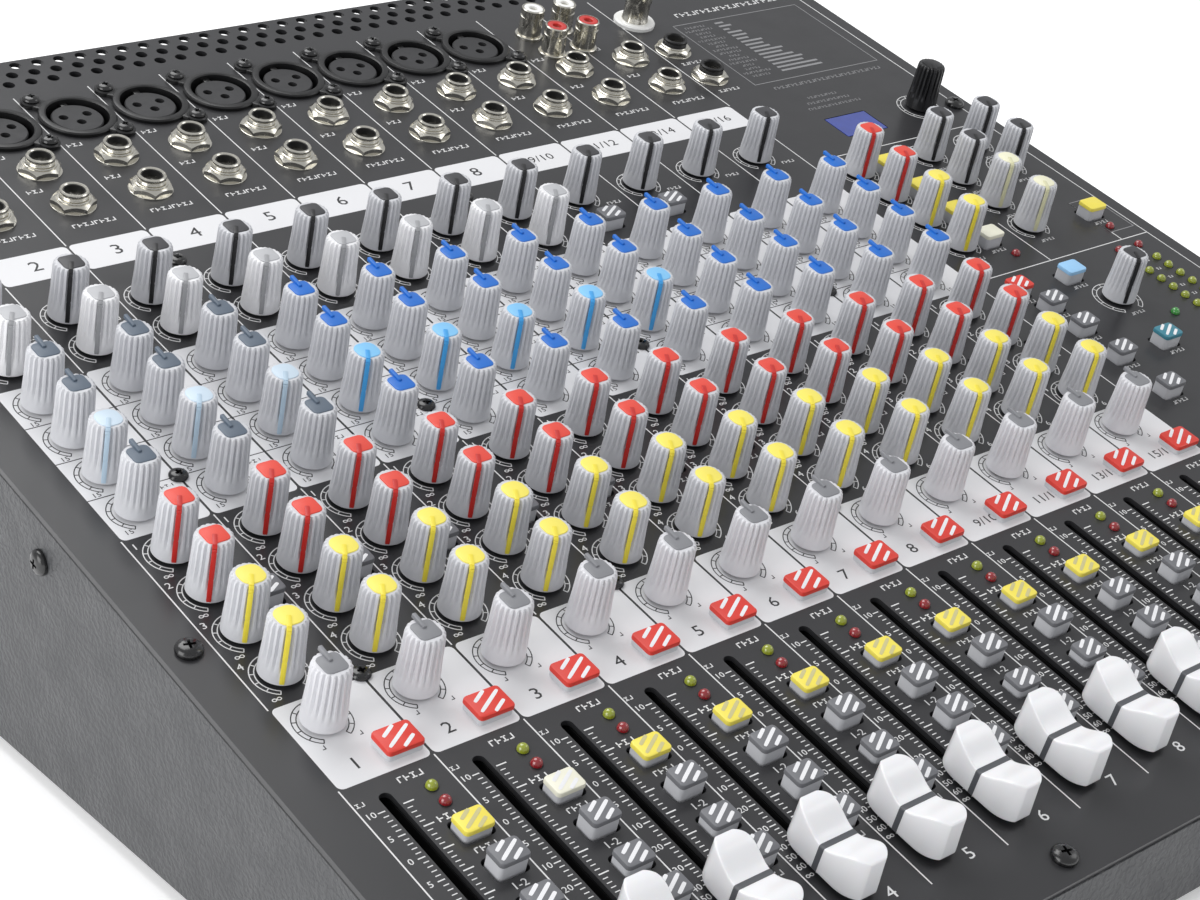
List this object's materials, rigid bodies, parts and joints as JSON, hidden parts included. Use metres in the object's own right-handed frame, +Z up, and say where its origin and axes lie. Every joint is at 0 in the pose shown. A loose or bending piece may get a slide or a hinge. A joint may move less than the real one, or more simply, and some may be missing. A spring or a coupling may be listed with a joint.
{
  "type": "mixing console",
  "caption": "Sloping desk-top audio mixing console with channel strips of rotary knobs, latching buttons and sliding faders, and a row of sockets along its back.",
  "frame": {"origin": "on the floor below the middle of the bounding box", "axes": "+X to the right of the person using it, +Y towards the sockets at the back, +Z up"},
  "size_m": [0.4144, 0.4086, 0.139],
  "materials": {
    "panel_paint": "satin charcoal paint with light printed areas",
    "textured_paint": "charcoal textured powder coat",
    "foot_rubber": "matt",
    "black_screw": "glossy black",
    "board_laminate": "satin",
    "transformer_tape": "satin",
    "black_plastic": "satin",
    "nickel": "bright",
    "led_lens": "clear coloured",
    "display_glass": "glossy",
    "track_steel": "bright",
    "knob_grey": "satin",
    "button_grey": "satin",
    "fader_white": "glossy"
  },
  "bodies": {
    "root": {"auxiliary_knobs": "knob_grey", "channel_buttons": "button_grey", "chassis_tub": "textured_paint", "circuit_boards": "board_laminate", "compressor_knobs": "knob_grey", "effects_display": "display_glass", "equaliser_knobs": "knob_grey", "fader_tracks": "track_steel", "gain_knobs": "knob_grey", "indicator_leds": "led_lens", "jack_nuts": "nickel", "jack_sockets": "nickel", "lamp_socket": "nickel", "latching_switches": "black_plastic", "machine_screws": "black_screw", "mains_inlet": "black_plastic", "master_buttons": "button_grey", "master_knobs": "knob_grey", "pan_knobs": "knob_grey", "phono_sockets": "nickel", "potentiometers": "track_steel", "power_transformer": "transformer_tape", "rear_panel": "textured_paint", "rubber_feet": "foot_rubber", "top_panel": "panel_paint", "xlr_sockets": "black_plastic"},
    "pan_knob_1": {"pan_knob_1": "knob_grey"},
    "aux_4_knob_1": {"aux_4_knob_1": "knob_grey"},
    "aux_3_knob_1": {"aux_3_knob_1": "knob_grey"},
    "aux_2_knob_1": {"aux_2_knob_1": "knob_grey"},
    "aux_1_knob_1": {"aux_1_knob_1": "knob_grey"},
    "low_knob_1": {"low_knob_1": "knob_grey"},
    "frequency_knob_1": {"frequency_knob_1": "knob_grey"},
    "mid_knob_1": {"mid_knob_1": "knob_grey"},
    "high_knob_1": {"high_knob_1": "knob_grey"},
    "compressor_knob_1": {"compressor_knob_1": "knob_grey"},
    "gain_knob_1": {"gain_knob_1": "knob_grey"},
    "monitor_level_knob": {"monitor_level_knob": "knob_grey"},
    "main_button_1": {"main_button_1": "button_grey"},
    "group_3_4_button_1": {"group_3_4_button_1": "button_grey"},
    "group_1_2_button_1": {"group_1_2_button_1": "button_grey"},
    "solo_button_1": {"solo_button_1": "button_grey"},
    "pre_fader_button_1": {"pre_fader_button_1": "button_grey"},
    "mute_button_1": {"mute_button_1": "button_grey"},
    "channel_fader_cap_1": {"channel_fader_cap_1": "fader_white"},
    "channel_fader_cap_2": {"channel_fader_cap_2": "fader_white"},
    "channel_fader_cap_3": {"channel_fader_cap_3": "fader_white"},
    "channel_fader_cap_4": {"channel_fader_cap_4": "fader_white"},
    "channel_fader_cap_5": {"channel_fader_cap_5": "fader_white"},
    "channel_fader_cap_6": {"channel_fader_cap_6": "fader_white"},
    "channel_fader_cap_7": {"channel_fader_cap_7": "fader_white"},
    "channel_fader_cap_8": {"channel_fader_cap_8": "fader_white"},
    "channel_fader_cap_9": {"channel_fader_cap_9": "fader_white"},
    "channel_fader_cap_10": {"channel_fader_cap_10": "fader_white"},
    "channel_fader_cap_11": {"channel_fader_cap_11": "fader_white"},
    "channel_fader_cap_12": {"channel_fader_cap_12": "fader_white"},
    "group_fader_cap_1_2": {"group_fader_cap_1_2": "fader_white"},
    "group_fader_cap_3_4": {"group_fader_cap_3_4": "fader_white"},
    "main_fader_cap": {"main_fader_cap": "fader_white"},
    "power_rocker": {"power_rocker": "black_plastic"}
  },
  "joints": [
    {"name": "pan_turn_1", "type": "hinge", "parent": "root", "child": "pan_knob_1", "pos_m": [-0.1836, -0.08741, 0.05926], "axis": [0, -0.2588, 0.9659], "range_deg": [-150, 150]},
    {"name": "aux_4_turn_1", "type": "hinge", "parent": "root", "child": "aux_4_knob_1", "pos_m": [-0.1836, -0.07022, 0.06387], "axis": [0, -0.2588, 0.9659], "range_deg": [-300, 0]},
    {"name": "aux_3_turn_1", "type": "hinge", "parent": "root", "child": "aux_3_knob_1", "pos_m": [-0.1836, -0.05486, 0.06799], "axis": [0, -0.2588, 0.9659], "range_deg": [-300, 0]},
    {"name": "aux_2_turn_1", "type": "hinge", "parent": "root", "child": "aux_2_knob_1", "pos_m": [-0.1836, -0.0395, 0.0721], "axis": [0, -0.2588, 0.9659], "range_deg": [-300, 0]},
    {"name": "aux_1_turn_1", "type": "hinge", "parent": "root", "child": "aux_1_knob_1", "pos_m": [-0.1836, -0.02414, 0.07622], "axis": [0, -0.2588, 0.9659], "range_deg": [-300, 0]},
    {"name": "low_turn_1", "type": "hinge", "parent": "root", "child": "low_knob_1", "pos_m": [-0.1836, -0.00695, 0.08082], "axis": [0, -0.2588, 0.9659], "range_deg": [-150, 150]},
    {"name": "frequency_turn_1", "type": "hinge", "parent": "root", "child": "frequency_knob_1", "pos_m": [-0.1836, 0.00841, 0.08494], "axis": [0, -0.2588, 0.9659], "range_deg": [-300, 0]},
    {"name": "mid_turn_1", "type": "hinge", "parent": "root", "child": "mid_knob_1", "pos_m": [-0.1836, 0.02377, 0.08905], "axis": [0, -0.2588, 0.9659], "range_deg": [-150, 150]},
    {"name": "high_turn_1", "type": "hinge", "parent": "root", "child": "high_knob_1", "pos_m": [-0.1836, 0.03913, 0.09317], "axis": [0, -0.2588, 0.9659], "range_deg": [-150, 150]},
    {"name": "compressor_turn_1", "type": "hinge", "parent": "root", "child": "compressor_knob_1", "pos_m": [-0.1836, 0.05632, 0.09778], "axis": [0, -0.2588, 0.9659], "range_deg": [-300, 0]},
    {"name": "gain_turn_1", "type": "hinge", "parent": "root", "child": "gain_knob_1", "pos_m": [-0.1836, 0.07168, 0.10189], "axis": [0, -0.2588, 0.9659], "range_deg": [-300, 0]},
    {"name": "monitor_level_turn", "type": "hinge", "parent": "root", "child": "monitor_level_knob", "pos_m": [0.154, -0.03844, 0.07239], "axis": [0, -0.2588, 0.9659], "range_deg": [-300, 0]},
    {"name": "main_press_1", "type": "slide", "parent": "root", "child": "main_button_1", "axis": [0, -0.2588, 0.9659], "range_m": [-0.0023, 0], "stiffness_N_per_m": 150, "springref_m": 0.0006},
    {"name": "group_3_4_press_1", "type": "slide", "parent": "root", "child": "group_3_4_button_1", "axis": [0, -0.2588, 0.9659], "range_m": [-0.0006, 0.0017]},
    {"name": "group_1_2_press_1", "type": "slide", "parent": "root", "child": "group_1_2_button_1", "axis": [0, -0.2588, 0.9659], "range_m": [-0.0023, 0], "stiffness_N_per_m": 150, "springref_m": 0.0006},
    {"name": "solo_press_1", "type": "slide", "parent": "root", "child": "solo_button_1", "axis": [0, -0.2588, 0.9659], "range_m": [-0.0006, 0.0017]},
    {"name": "pre_fader_press_1", "type": "slide", "parent": "root", "child": "pre_fader_button_1", "axis": [0, -0.2588, 0.9659], "range_m": [-0.0023, 0], "stiffness_N_per_m": 150, "springref_m": 0.0006},
    {"name": "mute_press_1", "type": "slide", "parent": "root", "child": "mute_button_1", "axis": [0, -0.2588, 0.9659], "range_m": [-0.0006, 0.0017]},
    {"name": "channel_fader_slide_1", "type": "slide", "parent": "root", "child": "channel_fader_cap_1", "axis": [0, 0.9659, 0.2588], "range_m": [0, 0.06]},
    {"name": "channel_fader_slide_2", "type": "slide", "parent": "root", "child": "channel_fader_cap_2", "axis": [0, 0.9659, 0.2588], "range_m": [0, 0.06]},
    {"name": "channel_fader_slide_3", "type": "slide", "parent": "root", "child": "channel_fader_cap_3", "axis": [0, 0.9659, 0.2588], "range_m": [0, 0.06]},
    {"name": "channel_fader_slide_4", "type": "slide", "parent": "root", "child": "channel_fader_cap_4", "axis": [0, 0.9659, 0.2588], "range_m": [0, 0.06]},
    {"name": "channel_fader_slide_5", "type": "slide", "parent": "root", "child": "channel_fader_cap_5", "axis": [0, 0.9659, 0.2588], "range_m": [0, 0.06]},
    {"name": "channel_fader_slide_6", "type": "slide", "parent": "root", "child": "channel_fader_cap_6", "axis": [0, 0.9659, 0.2588], "range_m": [0, 0.06]},
    {"name": "channel_fader_slide_7", "type": "slide", "parent": "root", "child": "channel_fader_cap_7", "axis": [0, 0.9659, 0.2588], "range_m": [0, 0.06]},
    {"name": "channel_fader_slide_8", "type": "slide", "parent": "root", "child": "channel_fader_cap_8", "axis": [0, 0.9659, 0.2588], "range_m": [0, 0.06]},
    {"name": "channel_fader_slide_9", "type": "slide", "parent": "root", "child": "channel_fader_cap_9", "axis": [0, 0.9659, 0.2588], "range_m": [0, 0.06]},
    {"name": "channel_fader_slide_10", "type": "slide", "parent": "root", "child": "channel_fader_cap_10", "axis": [0, 0.9659, 0.2588], "range_m": [0, 0.06]},
    {"name": "channel_fader_slide_11", "type": "slide", "parent": "root", "child": "channel_fader_cap_11", "axis": [0, 0.9659, 0.2588], "range_m": [0, 0.06]},
    {"name": "channel_fader_slide_12", "type": "slide", "parent": "root", "child": "channel_fader_cap_12", "axis": [0, 0.9659, 0.2588], "range_m": [0, 0.06]},
    {"name": "group_fader_slide_1_2", "type": "slide", "parent": "root", "child": "group_fader_cap_1_2", "axis": [0, 0.9659, 0.2588], "range_m": [0, 0.06]},
    {"name": "group_fader_slide_3_4", "type": "slide", "parent": "root", "child": "group_fader_cap_3_4", "axis": [0, 0.9659, 0.2588], "range_m": [0, 0.06]},
    {"name": "main_fader_slide", "type": "slide", "parent": "root", "child": "main_fader_cap", "axis": [0, 0.9659, 0.2588], "range_m": [0, 0.06]},
    {"name": "power_rocker_tilt", "type": "hinge", "parent": "root", "child": "power_rocker", "pos_m": [0.1516, 0.20134, 0.042], "axis": [1, 0, 0], "range_deg": [-8, 0]}
  ]
}
